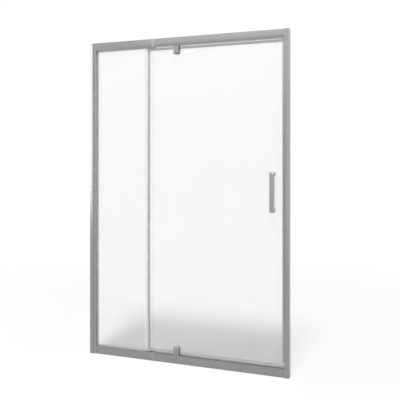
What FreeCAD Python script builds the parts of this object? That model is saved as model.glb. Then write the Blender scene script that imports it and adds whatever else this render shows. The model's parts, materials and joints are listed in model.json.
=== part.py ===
import FreeCAD, Part
import math
import operator
import os
from types import SimpleNamespace

import Sketcher

# In-line pivot shower door for a niche. X runs along the door to the right, Y from the outside in,
# Z up. The origin lies under the sill, midway between the walls, in the middle plane of the glass.

SIZES = {
    # Whole unit
    "unit_width": 1200,
    "unit_height": 1850,
    "glass_thickness": 5,
    # Wall profiles: the U-channels that are screwed to the walls
    "wall_profile_face": 22.5,
    "wall_profile_depth": 40,
    "wall_profile_wall": 1.8,
    "wall_profile_lip": 2,
    "wall_profile_drop": 5,
    "wall_hole_radius": 3,
    "wall_hole_end": 150,
    "slide_clearance": 0.4,
    "cap_thickness": 2,
    # Left stile and strike jamb: the posts that slide in the wall profiles
    "left_stile_reach": 42,
    "post_overlap": 11,
    "jamb_reach": 24.5,
    "post_corner": 3,
    "profile_wall": 1.6,
    # Rails
    "fixed_rail_height": 50,
    "rail_step": 3,
    "rail_depth": 34,
    "rail_bow": 3,
    "fixed_light_width": 372,
    "joint_past_door": 43,
    "joint_strip_width": 22,
    "joint_strip_thickness": 1.2,
    "joint_strip_clearance": 0.3,
    "splice_length": 80,
    "splice_wall": 3,
    "block_clearance": 0.3,
    "corner_block_length": 30,
    # Fixed pane in its pockets
    "pocket_depth": 15,
    "gasket_thickness": 2.5,
    "gasket_lip": 1,
    "pane_cover": 12,
    "pane_gap": 8,
    "filler_wall": 1.5,
    "filler_leg": 10,
    "edge_seal_wall": 1.2,
    "edge_seal_grip": 8,
    "edge_seal_fin": 1.6,
    "edge_seal_gap": 1.2,
    # Fasteners of the frame
    "frame_screw_radius": 1.75,
    "frame_screw_length": 20,
    "frame_screw_head_radius": 3.1,
    "frame_screw_head_height": 2.4,
    "frame_screw_spread": 20,
    "frame_screw_inset": 17.5,
    "clamp_screw_radius": 1.9,
    "clamp_screw_length": 8,
    "clamp_screw_head_radius": 3.5,
    "clamp_screw_head_height": 2.2,
    "clamp_screw_inset": 5.5,
    "clamp_screw_end": 300,
    "screw_cap_wall": 1.2,
    "screw_cap_clearance": 0.3,
    "screw_clearance": 0.2,
    "thread_clearance": 0.05,
    # Closing side
    "strike_gap": 2.5,
    "magnet_width": 7.6,
    "magnet_thickness": 1.8,
    "magnet_seat": 1.2,
    "magnet_clearance": 0.2,
    "stop_reach": 8,
    "stop_thickness": 1.6,
    "stop_flange": 6,
    "stop_clearance": 0.6,
    # Door leaf
    "door_gap": 6,
    "door_profile_depth": 14,
    "door_profile_corner": 2,
    "door_left_width": 11,
    "door_right_width": 11,
    "door_rail_width": 12,
    "door_glass_cover": 7,
    "door_gasket": 1,
    "corner_leg": 24,
    "corner_radius": 5,
    "seal_strip_width": 30,
    "seal_strip_thickness": 0.8,
    "drip_reach": 5,
    "drip_foot_width": 6,
    "drip_foot_thickness": 1.2,
    "drip_blade": 1.4,
    "drip_end_gap": 2,
    # Pivots
    "pivot_from_edge": 185,
    "bracket_width": 32,
    "bracket_height": 45.5,
    "bracket_edge_round": 2.5,
    "bracket_far_round": 8,
    "bracket_depth": 17,
    "clamp_plate_thickness": 6,
    "pad_thickness": 1,
    "core_width": 20,
    "notch_depth": 18,
    "notch_clearance": 1,
    "core_clearance": 0.3,
    "bracket_screw_radius": 2.5,
    "bracket_screw_head_radius": 4.5,
    "bracket_screw_head_height": 2,
    "bracket_screw_spread": 18,
    "bracket_screw_inset": 9.5,
    "bracket_screw_bite": 10,
    "glass_hole_clearance": 1.5,
    "pin_radius": 4,
    "pin_seat": 20,
    "pin_reach": 12,
    "pin_chamfer": 1,
    "press_clearance": 0.02,
    "running_clearance": 0.05,
    "bush_wall": 3,
    "bush_length": 16,
    "bush_clearance": 0.1,
    "flange_radius": 10,
    "flange_thickness": 2,
    "top_play": 0.5,
    "pivot_block_length": 44,
    "pivot_block_height": 20,
    "pivot_screw_spread": 30,
    "pivot_screw_length": 14,
    # Handle
    "handle_inset": 62,
    "handle_low": 874.5,
    "handle_height": 215,
    "handle_width": 25.5,
    "handle_reach": 40,
    "handle_bow": 1.5,
    "handle_bar": 12,
    "handle_leg": 20,
    "handle_outer_round": 9,
    "handle_inner_round": 6,
    "handle_edge_round": 2,
    "handle_screw_radius": 3,
    "handle_screw_bite": 18,
    "handle_screw_head_radius": 5.5,
    "handle_screw_head_height": 2.5,
    "handle_washer_radius": 9,
    "handle_cap_radius": 10,
    "handle_cap_height": 5,
    "handle_cap_chamfer": 3,
    # Every cut runs this far past the wall that it goes through
    "overrun": 1,
}

OPERATORS = {"+": operator.add, "-": operator.sub, "*": operator.mul, "/": operator.truediv}

doc = FreeCAD.newDocument("shower_door")
sheet = doc.addObject("Spreadsheet::Sheet", "sizes")
for row, (alias, number) in enumerate(SIZES.items(), start=1):
    sheet.set(f"A{row}", alias)
    sheet.set(f"B{row}", str(number))
    sheet.setAlias(f"B{row}", alias)
doc.recompute()


class Size:
    """A length that keeps its sheet expression beside its number, so that sums stay live in the sheet."""

    def __init__(self, number, text):
        self.number = number
        self.text = text

    def __add__(self, other):
        return joined(self, "+", other)

    def __radd__(self, other):
        return joined(other, "+", self)

    def __sub__(self, other):
        return joined(self, "-", other)

    def __rsub__(self, other):
        return joined(other, "-", self)

    def __mul__(self, other):
        return joined(self, "*", other)

    def __rmul__(self, other):
        return joined(other, "*", self)

    def __truediv__(self, other):
        return joined(self, "/", other)

    def __neg__(self):
        return joined(0, "-", self)

    def root(self):
        return Size(math.sqrt(self.number), f"sqrt({self.text})")


def as_size(value):
    if isinstance(value, Size):
        return value
    return Size(float(value), str(value))


def joined(first, sign, second):
    first = as_size(first)
    second = as_size(second)
    number = OPERATORS[sign](first.number, second.number)
    return Size(number, f"({first.text} {sign} {second.text})")


def arc_radius(half_chord, rise):
    """The radius of an arc that rises by so much over its chord."""
    return (half_chord * half_chord + rise * rise) / (rise * 2)


def arc_fall(radius, along):
    """How far an arc has fallen away from its tangent after a way along that tangent."""
    return radius - (radius * radius - along * along).root()


sizes = SimpleNamespace(**{alias: Size(float(sheet.get(alias)), f"sizes.{alias}") for alias in SIZES})
pieces = {}

# Planes and faces that several pieces share

half_width = sizes.unit_width / 2
half_glass = sizes.glass_thickness / 2
post_top = sizes.unit_height - sizes.cap_thickness
profile_half = sizes.wall_profile_depth / 2
profile_tip = half_width - sizes.wall_profile_face
post_back = profile_tip + sizes.post_overlap
sliding_half = profile_half - sizes.wall_profile_wall - sizes.slide_clearance
bow_radius = arc_radius(sizes.wall_profile_face, sizes.wall_profile_drop)
inner_bow_radius = bow_radius - sizes.wall_profile_wall
profile_front = -profile_half - arc_fall(inner_bow_radius, sizes.post_overlap)
stile_inner = sizes.left_stile_reach - half_width
jamb_inner = half_width - sizes.jamb_reach
pocket_half = half_glass + sizes.gasket_thickness
rail_edge = sizes.rail_depth / 2 - sizes.rail_bow
door_rail_height = sizes.fixed_rail_height - sizes.rail_step
door_left = sizes.fixed_light_width - half_width
door_right = jamb_inner - sizes.strike_gap
door_half = sizes.door_profile_depth / 2
joint_x = door_left + sizes.joint_past_door
pane_edge = door_left - sizes.pane_gap
pivot_x = door_left + sizes.pivot_from_edge
bracket_left = pivot_x - sizes.bracket_width / 2
bracket_right = pivot_x + sizes.bracket_width / 2
slot_half = half_glass + sizes.door_gasket
plate_front = half_glass + sizes.pad_thickness
glass_left = door_left + sizes.door_left_width - sizes.door_glass_cover
glass_right = door_right - sizes.door_right_width + sizes.door_glass_cover
bush_radius = sizes.pin_radius + sizes.running_clearance + sizes.bush_wall
bush_hole = bush_radius + sizes.bush_clearance
glass_hole = sizes.bracket_screw_radius + sizes.glass_hole_clearance
handle_x = door_right - sizes.handle_inset
handle_high = sizes.handle_low + sizes.handle_height
handle_screw_heights = [sizes.handle_low + sizes.handle_leg / 2, handle_high - sizes.handle_leg / 2]
handle_glass_hole = sizes.handle_screw_radius + sizes.glass_hole_clearance


def level_of(end):
    """Heights at the top or the bottom of the unit. Inward points from that end towards the middle."""
    top = end == "top"
    inward = -1 if top else 1
    outer = sizes.unit_height if top else as_size(0)
    fixed_edge = outer + sizes.fixed_rail_height * inward
    door_edge = outer + door_rail_height * inward
    leaf = door_edge + sizes.door_gap * inward
    glass = leaf + (sizes.door_rail_width - sizes.door_glass_cover) * inward
    play = sizes.top_play if top else as_size(0)
    bracket = door_edge + (sizes.flange_thickness + play) * inward
    return SimpleNamespace(
        name=end,
        inward=inward,
        outer=outer,
        fixed_edge=fixed_edge,
        door_edge=door_edge,
        leaf=leaf,
        glass=glass,
        bracket=bracket,
        bracket_far=bracket + sizes.bracket_height * inward,
        pocket_floor=fixed_edge - sizes.pocket_depth * inward,
        pane=fixed_edge - sizes.pane_cover * inward,
        frame_screw=outer + sizes.frame_screw_inset * inward,
        notch=glass + sizes.notch_depth * inward,
        bracket_screw=bracket + (sizes.bracket_height - sizes.bracket_screw_inset) * inward,
    )


top = level_of("top")
bottom = level_of("bottom")
ends = [top, bottom]


# Outlines for the sketches

def corner(u, v, radius=None, bow=None, swing=None):
    """A corner of an outline, rounded where square runs meet, or left by a bowed or a swung run."""
    return SimpleNamespace(u=as_size(u), v=as_size(v), radius=radius, bow=bow, swing=swing)


def sign(number):
    return (number > 0) - (number < 0)


def counter_clockwise(corners):
    area = 0
    for here, after in zip(corners, corners[1:] + corners[:1]):
        area += here.u.number * after.v.number - after.u.number * here.v.number
    if area > 0:
        return corners
    turned_round = []
    for index in reversed(range(len(corners))):
        here = corners[index]
        before = corners[index - 1]
        turned_round.append(corner(here.u, here.v, here.radius, before.bow, before.swing))
    return turned_round


def straight_run(u, v):
    return SimpleNamespace(u=u, v=v, radius=None)


def rounded_runs(here, before, after):
    """The arc over a square corner and the straight run that leaves it."""
    in_u = sign(here.u.number - before.u.number)
    in_v = sign(here.v.number - before.v.number)
    out_u = sign(after.u.number - here.u.number)
    out_v = sign(after.v.number - here.v.number)
    arc = SimpleNamespace(u=here.u - here.radius * in_u, v=here.v - here.radius * in_v, radius=here.radius)
    arc.middle = (arc.u + here.radius * out_u, arc.v + here.radius * out_v)
    arc.turn = in_u * out_v - in_v * out_u
    return [arc, straight_run(here.u + here.radius * out_u, here.v + here.radius * out_v)]


def bowed_run(here, after):
    """A level or upright run that swells sideways by its bow, outwards where the bow is positive."""
    along_u = sign(after.u.number - here.u.number)
    along_v = sign(after.v.number - here.v.number)
    turn = sign(here.bow.number)
    rise = here.bow * turn
    chord = (after.u - here.u) * along_u + (after.v - here.v) * along_v
    radius = arc_radius(chord / 2, rise)
    aside = (radius - rise) * turn
    middle = ((here.u + after.u) / 2 - aside * along_v, (here.v + after.v) / 2 + aside * along_u)
    return SimpleNamespace(u=here.u, v=here.v, radius=radius, middle=middle, turn=turn)


def swung_run(here, after):
    """A run that swings from one corner to the next about a middle of its own."""
    middle = (here.swing.u, here.swing.v)
    start = [here.u.number - middle[0].number, here.v.number - middle[1].number]
    stop = [after.u.number - middle[0].number, after.v.number - middle[1].number]
    turn = sign(start[0] * stop[1] - start[1] * stop[0])
    return SimpleNamespace(u=here.u, v=here.v, radius=here.swing.radius, middle=middle, turn=turn)


class Outline:
    """A closed loop of corners, drawn in a sketch with every point tied to the sheet."""

    def __init__(self, *corners):
        self.corners = counter_clockwise(list(corners))

    def runs(self):
        found = []
        for index, here in enumerate(self.corners):
            before = self.corners[index - 1]
            after = self.corners[(index + 1) % len(self.corners)]
            if here.radius is not None:
                found += rounded_runs(here, before, after)
            elif here.bow is not None:
                found.append(bowed_run(here, after))
            elif here.swing is not None:
                found.append(swung_run(here, after))
            else:
                found.append(straight_run(here.u, here.v))
        return found

    def draw(self, sketch):
        runs = self.runs()
        offset = sketch.GeometryCount
        points = [FreeCAD.Vector(run.u.number, run.v.number, 0) for run in runs]
        grips = []
        for run, start, finish in zip(runs, points, points[1:] + points[:1]):
            if run.radius is None:
                sketch.addGeometry(Part.LineSegment(start, finish))
                grips.append((1, 2))
                continue
            middle = FreeCAD.Vector(run.middle[0].number, run.middle[1].number, 0)
            circle = Part.Circle(middle, FreeCAD.Vector(0, 0, 1), run.radius.number)
            first, last = (start, finish) if run.turn > 0 else (finish, start)
            arc = Part.ArcOfCircle(circle, circle.parameter(first), circle.parameter(last))
            sketch.addGeometry(arc)
            grips.append((1, 2) if run.turn > 0 else (2, 1))
        constraints = []
        bindings = []
        for index, run in enumerate(runs):
            here = offset + index
            after = (index + 1) % len(runs)
            begin, stop = grips[index]
            constraints.append(Sketcher.Constraint("Coincident", here, stop, offset + after, grips[after][0]))
            bindings.append(None)
            constraints.append(Sketcher.Constraint("DistanceX", -1, 1, here, begin, run.u.number))
            bindings.append(("across", run.u))
            constraints.append(Sketcher.Constraint("DistanceY", -1, 1, here, begin, run.v.number))
            bindings.append(("up", run.v))
            if run.radius is not None:
                constraints.append(Sketcher.Constraint("Radius", here, run.radius.number))
                bindings.append(("round", run.radius))
        tie(sketch, constraints, bindings)


class Round:
    """A circle in a sketch, tied to the sheet."""

    def __init__(self, u, v, radius):
        self.u = as_size(u)
        self.v = as_size(v)
        self.radius = radius

    def draw(self, sketch):
        here = sketch.GeometryCount
        middle = FreeCAD.Vector(self.u.number, self.v.number, 0)
        sketch.addGeometry(Part.Circle(middle, FreeCAD.Vector(0, 0, 1), self.radius.number))
        constraints = [
            Sketcher.Constraint("DistanceX", -1, 1, here, 3, self.u.number),
            Sketcher.Constraint("DistanceY", -1, 1, here, 3, self.v.number),
            Sketcher.Constraint("Radius", here, self.radius.number),
        ]
        tie(sketch, constraints, [("across", self.u), ("up", self.v), ("round", self.radius)])


def tie(sketch, constraints, bindings):
    """Adds constraints to a sketch and binds each measured one to its expression."""
    for index, binding in zip(sketch.addConstraint(constraints), bindings):
        if binding is None:
            continue
        word, size = binding
        sketch.renameConstraint(index, f"{word}_{index}")
        bind(sketch, f"Constraints.{word}_{index}", size)


def rectangle(u_low, v_low, u_high, v_high, radius=None):
    return Outline(
        corner(u_low, v_low, radius),
        corner(u_high, v_low, radius),
        corner(u_high, v_high, radius),
        corner(u_low, v_high, radius),
    )


def channel(base, tip, floor, outer, inner, upright=False, radius=None, groove=None):
    """A U-shaped section, closed at base and open at tip. Its slot runs from floor to tip."""
    points = [
        (base, -outer, radius),
        (tip, -outer, None),
        (tip, -inner, None),
        (floor, -inner, None),
        (floor, inner, None),
        (tip, inner, None),
        (tip, outer, None),
        (base, outer, radius),
    ]
    if groove is not None:
        bed = base + groove.depth * sign(tip.number - base.number)
        points += [(base, groove.half, None), (bed, groove.half, None)]
        points += [(bed, -groove.half, None), (base, -groove.half, None)]
    if upright:
        return Outline(*[corner(across, deep, bend) for deep, across, bend in points])
    return Outline(*[corner(deep, across, bend) for deep, across, bend in points])


magnet_groove = SimpleNamespace(
    half=sizes.magnet_width / 2 + sizes.magnet_clearance,
    depth=sizes.magnet_seat,
)

# Features

# The XZ plane looks towards the outside, so levels along Y count the other way in its sketches
PLANE_TURN = {"XY": 1, "YZ": 1, "XZ": -1}

DIRECTIONS = {
    "+X": FreeCAD.Rotation(FreeCAD.Vector(0, 1, 0), 90),
    "-X": FreeCAD.Rotation(FreeCAD.Vector(0, 1, 0), -90),
    "-Y": FreeCAD.Rotation(FreeCAD.Vector(1, 0, 0), 90),
    "+Z": FreeCAD.Rotation(),
    "-Z": FreeCAD.Rotation(FreeCAD.Vector(1, 0, 0), 180),
}


def bind(thing, name, size):
    thing.setExpression(name, as_size(size).text)


def new_body(name):
    return doc.addObject("PartDesign::Body", name)


def piece(label):
    """A body that is one sub-part of its own."""
    body = new_body(label)
    body.Label = label
    pieces[label] = body
    return body


def group(label, members):
    """Like solids that share one sub-part."""
    together = doc.addObject("Part::Compound", label)
    together.Label = label
    together.Links = members
    pieces[label] = together


def sketch_on(body, plane, level, outlines):
    support = next(origin for origin in body.Origin.OriginFeatures if origin.Role == f"{plane}_Plane")
    sketch = body.newObject("Sketcher::SketchObject", "section")
    sketch.AttachmentSupport = [(support, "")]
    sketch.MapMode = "FlatFace"
    bind(sketch, "AttachmentOffset.Base.z", as_size(level) * PLANE_TURN[plane])
    for outline in outlines:
        outline.draw(sketch)
    return sketch


def extrude(body, plane, start, stop, *outlines):
    """A pad from one level to a higher one along the axis square to the plane."""
    pad = body.newObject("PartDesign::Pad", "pad")
    pad.Profile = sketch_on(body, plane, start, outlines)
    pad.Reversed = PLANE_TURN[plane] < 0
    bind(pad, "Length", stop - start)
    return body


def cut(body, plane, start, stop, *outlines):
    """A pocket between two levels, drawn on the plane midway so that it cuts both ways alike."""
    doc.recompute()
    before = body.Shape.Volume
    pocket = body.newObject("PartDesign::Pocket", "pocket")
    pocket.Profile = sketch_on(body, plane, (start + stop) / 2, outlines)
    pocket.SideType = "Symmetric"
    bind(pocket, "Length", stop - start)
    expect_less(body, before)


def sink(body, x, outline):
    """A turned cut about an upright axis in the middle plane, at x."""
    doc.recompute()
    before = body.Shape.Volume
    groove = body.newObject("PartDesign::Groove", "groove")
    sketch = sketch_on(body, "XZ", 0, [outline])
    bind(sketch, "AttachmentOffset.Base.x", x)
    groove.Profile = sketch
    groove.ReferenceAxis = (sketch, ["V_Axis"])
    groove.Angle = 360
    expect_less(body, before)


def expect_less(body, volume):
    doc.recompute()
    if body.Shape.Volume >= volume:
        raise ValueError(f"a cut in {body.Label} took nothing away")


def drill_wall(body, plane, wall_low, wall_high, *rounds):
    """Round holes through one wall, with the shared overrun on both sides."""
    cut(body, plane, wall_low - sizes.overrun, wall_high + sizes.overrun, *rounds)


def turn(body, outline, x, y, z, direction="+Z"):
    """A solid of revolution about its own upright axis, then laid along a direction and put in place."""
    revolution = body.newObject("PartDesign::Revolution", "revolution")
    sketch = sketch_on(body, "XZ", 0, [outline])
    revolution.Profile = sketch
    revolution.ReferenceAxis = (sketch, ["V_Axis"])
    revolution.Angle = 360
    body.Placement = FreeCAD.Placement(FreeCAD.Vector(), DIRECTIONS[direction])
    for axis, size in zip("xyz", (x, y, z)):
        bind(body, f"Placement.Base.{axis}", size)
    return body


def round_edges(body, radius, chosen):
    """Rounds the edges of the newest feature that the chosen test picks."""
    doc.recompute()
    base = body.Tip
    names = [f"Edge{index}" for index, edge in enumerate(base.Shape.Edges, start=1) if chosen(edge)]
    fillet = body.newObject("PartDesign::Fillet", "rounding")
    fillet.Base = (base, names)
    bind(fillet, "Radius", radius)


def ordered(first, second):
    """Two levels, the lower one first."""
    return (first, second) if first.number < second.number else (second, first)


# Fasteners: the head lies below the seat on the screw's own axis, the shank above it

def pan_screw(x, y, z, direction, radius, length, head_radius, head_height):
    outline = Outline(
        corner(0, -head_height),
        corner(head_radius, -head_height),
        corner(head_radius, 0),
        corner(radius, 0),
        corner(radius, length),
        corner(0, length),
    )
    return turn(new_body("screw"), outline, x, y, z, direction)


def countersunk_screw(x, y, z, direction, radius, length, head_radius, head_height):
    outline = Outline(
        corner(0, 0),
        corner(head_radius, 0),
        corner(radius, head_height),
        corner(radius, length),
        corner(0, length),
    )
    return turn(new_body("screw"), outline, x, y, z, direction)


# Wall profiles, posts and caps

clamp_heights = [
    sizes.clamp_screw_end,
    sizes.unit_height / 2,
    sizes.unit_height - sizes.clamp_screw_end,
]
clamp_screw_x = profile_tip + sizes.clamp_screw_inset
clamp_screw_hole = sizes.clamp_screw_radius + sizes.screw_clearance


def front_swing(side, radius):
    """The middle about which a wall profile's front falls back from its tip towards the wall."""
    return SimpleNamespace(u=profile_tip * side, v=profile_front + bow_radius, radius=radius)


def profile_outside(side):
    """The outer corners of a wall profile, from the tip in front round to the tip inside."""
    return [
        corner(profile_tip * side, profile_front, swing=front_swing(side, bow_radius)),
        corner(half_width * side, profile_front + sizes.wall_profile_drop),
        corner(half_width * side, profile_half),
        corner(profile_tip * side, profile_half),
    ]


def wall_profile(label, side):
    """A U-channel on the wall with a bowed front, and with holes for the wall screws and the clamp screws."""
    body = piece(label)
    web_inner = half_width - sizes.wall_profile_wall
    inner_half = profile_half - sizes.wall_profile_wall
    lip_end = profile_tip + sizes.wall_profile_lip
    inner_front = profile_front + sizes.wall_profile_wall
    at_lip = inner_front + arc_fall(inner_bow_radius, sizes.wall_profile_lip)
    at_web = inner_front + arc_fall(inner_bow_radius, sizes.wall_profile_face - sizes.wall_profile_wall)
    section = Outline(
        *profile_outside(side),
        corner(profile_tip * side, inner_half),
        corner(web_inner * side, inner_half),
        corner(web_inner * side, at_web, swing=front_swing(side, inner_bow_radius)),
        corner(lip_end * side, at_lip),
        corner(lip_end * side, -inner_half),
        corner(profile_tip * side, -inner_half),
    )
    extrude(body, "XY", as_size(0), post_top, section)
    heights = [sizes.wall_hole_end, sizes.unit_height / 2, sizes.unit_height - sizes.wall_hole_end]
    wall_holes = [Round(0, height, sizes.wall_hole_radius) for height in heights]
    drill_wall(body, "YZ", *ordered(web_inner * side, half_width * side), *wall_holes)
    clamp_holes = [Round(clamp_screw_x * side, height, clamp_screw_hole) for height in clamp_heights]
    drill_wall(body, "XZ", profile_half - sizes.wall_profile_wall, profile_half, *clamp_holes)


def drill_clamp_holes(body, side):
    holes = [Round(clamp_screw_x * side, height, clamp_screw_hole) for height in clamp_heights]
    drill_wall(body, "XZ", sliding_half - sizes.profile_wall, sliding_half, *holes)


def frame_screw_holes(radius):
    return [
        Round(across, end.frame_screw, radius)
        for end in ends
        for across in (-sizes.frame_screw_spread / 2, sizes.frame_screw_spread / 2)
    ]


def left_stile():
    """A chambered post whose open pocket takes the fixed pane's left edge."""
    body = piece("left_stile")
    wall = sizes.profile_wall
    outer = -post_back
    floor = stile_inner - sizes.pocket_depth
    section = Outline(
        corner(outer, -sliding_half),
        corner(stile_inner, -sliding_half, sizes.post_corner),
        corner(stile_inner, -pocket_half),
        corner(floor, -pocket_half),
        corner(floor, pocket_half),
        corner(stile_inner, pocket_half),
        corner(stile_inner, sliding_half, sizes.post_corner),
        corner(outer, sliding_half),
    )
    chamber = Outline(
        corner(outer + wall, wall - sliding_half),
        corner(stile_inner - wall, wall - sliding_half),
        corner(stile_inner - wall, -pocket_half - wall),
        corner(floor - wall, -pocket_half - wall),
        corner(floor - wall, pocket_half + wall),
        corner(stile_inner - wall, pocket_half + wall),
        corner(stile_inner - wall, sliding_half - wall),
        corner(outer + wall, sliding_half - wall),
    )
    extrude(body, "XY", as_size(0), post_top, section, chamber)
    drill_clamp_holes(body, -1)
    holes = frame_screw_holes(sizes.frame_screw_radius + sizes.screw_clearance)
    drill_wall(body, "YZ", stile_inner - wall, stile_inner, *holes)


jamb_chamber = jamb_inner + sizes.magnet_seat + sizes.profile_wall


def strike_jamb():
    """A box post with a groove for the magnet strip in the face that the door closes on."""
    body = piece("strike_jamb")
    wall = sizes.profile_wall
    outer = post_back
    bed = jamb_inner + magnet_groove.depth
    section = Outline(
        corner(jamb_inner, -sliding_half, sizes.post_corner),
        corner(outer, -sliding_half),
        corner(outer, sliding_half),
        corner(jamb_inner, sliding_half, sizes.post_corner),
        corner(jamb_inner, magnet_groove.half),
        corner(bed, magnet_groove.half),
        corner(bed, -magnet_groove.half),
        corner(jamb_inner, -magnet_groove.half),
    )
    chamber = rectangle(jamb_chamber, wall - sliding_half, outer - wall, sliding_half - wall)
    extrude(body, "XY", as_size(0), post_top, section, chamber)
    drill_clamp_holes(body, 1)
    holes = frame_screw_holes(sizes.frame_screw_radius + sizes.screw_clearance)
    drill_wall(body, "YZ", jamb_inner, jamb_chamber, *holes)


def profile_cap(label, side, inner):
    """A flat cap that closes the top of a wall profile and of the post in it."""
    section = Outline(
        *profile_outside(side),
        corner(profile_tip * side, sliding_half),
        corner(inner, sliding_half),
        corner(inner, -sliding_half),
        corner(profile_tip * side, -sliding_half),
    )
    extrude(piece(label), "XY", post_top, sizes.unit_height, section)


# Rails and what holds their joints

def bowed_face(edge, near, far, bow):
    """Two corners of an upright face that swells by its bow."""
    return [corner(edge, near, bow=bow), corner(edge, far)]


def fixed_rail(end):
    """A chambered rail with bowed faces, open along its inner edge to take the fixed pane."""
    wall = sizes.profile_wall * end.inward
    section = Outline(
        *bowed_face(-rail_edge, end.outer, end.fixed_edge, sizes.rail_bow),
        corner(-pocket_half, end.fixed_edge),
        corner(-pocket_half, end.pocket_floor),
        corner(pocket_half, end.pocket_floor),
        corner(pocket_half, end.fixed_edge),
        *bowed_face(rail_edge, end.fixed_edge, end.outer, sizes.rail_bow),
    )
    side = rail_edge - sizes.profile_wall
    cheek = pocket_half + sizes.profile_wall
    main_chamber = rectangle(-side, end.outer + wall, side, end.pocket_floor - wall)
    front_chamber = rectangle(-side, end.pocket_floor, -cheek, end.fixed_edge - wall)
    back_chamber = rectangle(cheek, end.pocket_floor, side, end.fixed_edge - wall)
    body = piece(f"{end.name}_rail_fixed")
    extrude(body, "YZ", stile_inner, joint_x, section, main_chamber, front_chamber, back_chamber)


def door_rail(end):
    """A box rail with bowed faces that carries a pivot in its inner wall."""
    wall = sizes.profile_wall * end.inward
    section = Outline(
        *bowed_face(-rail_edge, end.outer, end.door_edge, sizes.rail_bow),
        *bowed_face(rail_edge, end.door_edge, end.outer, sizes.rail_bow),
    )
    side = rail_edge - sizes.profile_wall
    chamber = rectangle(-side, end.outer + wall, side, end.door_edge - wall)
    body = piece(f"{end.name}_rail_door")
    extrude(body, "YZ", joint_x, jamb_inner, section, chamber)
    drill_wall(body, "XY", *ordered(end.door_edge, end.door_edge - wall), Round(pivot_x, 0, bush_hole))
    wide = sizes.frame_screw_head_radius + sizes.thread_clearance
    narrow = sizes.frame_screw_radius + sizes.thread_clearance
    countersink = Outline(
        corner(0, end.door_edge + sizes.overrun * end.inward),
        corner(wide, end.door_edge + sizes.overrun * end.inward),
        corner(wide, end.door_edge),
        corner(narrow, end.door_edge - wall),
        corner(narrow, end.door_edge - wall - sizes.overrun * end.inward),
        corner(0, end.door_edge - wall - sizes.overrun * end.inward),
    )
    for x in pivot_screw_places:
        sink(body, x, countersink)


def joint_strip(end):
    """A thin strip that covers the rail joint on the outside and follows its bow."""
    inner = -rail_edge - sizes.joint_strip_clearance
    outer = inner - sizes.joint_strip_thickness
    section = Outline(
        *bowed_face(outer, end.outer, end.fixed_edge, sizes.rail_bow),
        *bowed_face(inner, end.fixed_edge, end.outer, -sizes.rail_bow),
    )
    half = sizes.joint_strip_width / 2
    extrude(piece(f"{end.name}_joint_strip"), "YZ", joint_x - half, joint_x + half, section)


block_half = rail_edge - sizes.profile_wall - sizes.block_clearance
block_skin = sizes.profile_wall + sizes.block_clearance


def rail_splice(end):
    """A short tube inside both rail lengths that keeps their joint in line."""
    near = end.outer + block_skin * end.inward
    far = end.pocket_floor - block_skin * end.inward
    wall = sizes.splice_wall
    tube = rectangle(-block_half, near, block_half, far)
    bore = rectangle(wall - block_half, near + wall * end.inward, block_half - wall, far - wall * end.inward)
    half = sizes.splice_length / 2
    extrude(piece(f"{end.name}_rail_splice"), "YZ", joint_x - half, joint_x + half, tube, bore)


def corner_block(end, start, stop, inner_wall):
    """A block in a rail's end that the frame screws bite into."""
    near = end.outer + block_skin * end.inward
    far = inner_wall - block_skin * end.inward
    pilot = sizes.frame_screw_radius + sizes.thread_clearance
    places = (-sizes.frame_screw_spread / 2, sizes.frame_screw_spread / 2)
    pilots = [Round(across, end.frame_screw, pilot) for across in places]
    section = rectangle(-block_half, near, block_half, far)
    return extrude(new_body("corner_block"), "YZ", start, stop, section, *pilots)


def corner_blocks():
    left_stop = stile_inner + sizes.corner_block_length
    right_start = jamb_inner - sizes.corner_block_length
    blocks = [corner_block(end, stile_inner, left_stop, end.pocket_floor) for end in ends]
    blocks += [corner_block(end, right_start, jamb_inner, end.door_edge) for end in ends]
    group("frame_corner_blocks", blocks)


def frame_screws():
    shape = (
        sizes.frame_screw_radius,
        sizes.frame_screw_length,
        sizes.frame_screw_head_radius,
        sizes.frame_screw_head_height,
    )
    screws = []
    for end in ends:
        for across in (-sizes.frame_screw_spread / 2, sizes.frame_screw_spread / 2):
            left_seat = stile_inner - sizes.profile_wall
            screws.append(pan_screw(left_seat, across, end.frame_screw, "+X", *shape))
            screws.append(pan_screw(jamb_chamber, across, end.frame_screw, "-X", *shape))
    group("frame_screws", screws)


def clamp_screws():
    shape = (
        sizes.clamp_screw_radius,
        sizes.clamp_screw_length,
        sizes.clamp_screw_head_radius,
        sizes.clamp_screw_head_height,
    )
    places = [(clamp_screw_x * side, height) for side in (-1, 1) for height in clamp_heights]
    group("clamp_screws", [pan_screw(x, profile_half, z, "-Y", *shape) for x, z in places])
    bore = sizes.clamp_screw_head_radius + sizes.screw_cap_clearance
    depth = sizes.clamp_screw_head_height + sizes.screw_cap_clearance
    rim = bore + sizes.screw_cap_wall
    height = depth + sizes.screw_cap_wall
    cup = Outline(
        corner(0, -height),
        corner(bore, -height),
        corner(rim, -depth),
        corner(rim, 0),
        corner(bore, 0),
        corner(bore, -depth),
        corner(0, -depth),
    )
    group("clamp_screw_caps", [turn(new_body("cap"), cup, x, profile_half, z, "-Y") for x, z in places])


# Fixed pane

def fixed_glass():
    pane = rectangle(stile_inner - sizes.pane_cover, bottom.pane, pane_edge, top.pane)
    extrude(piece("fixed_glass"), "XZ", -half_glass, half_glass, pane)


def fixed_gaskets():
    """U-section gaskets that fill the pockets round the pane and show as a thin lip."""
    lip = sizes.gasket_lip
    left = channel(
        stile_inner - sizes.pocket_depth,
        stile_inner + lip,
        stile_inner - sizes.pane_cover,
        pocket_half,
        half_glass,
    )
    extrude(piece("fixed_gasket_left"), "XY", bottom.pocket_floor, top.pocket_floor, left)
    for end in ends:
        mouth = end.fixed_edge + lip * end.inward
        section = channel(end.pocket_floor, mouth, end.pane, pocket_half, half_glass, upright=True)
        extrude(piece(f"fixed_gasket_{end.name}"), "YZ", stile_inner + lip, pane_edge, section)


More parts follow.
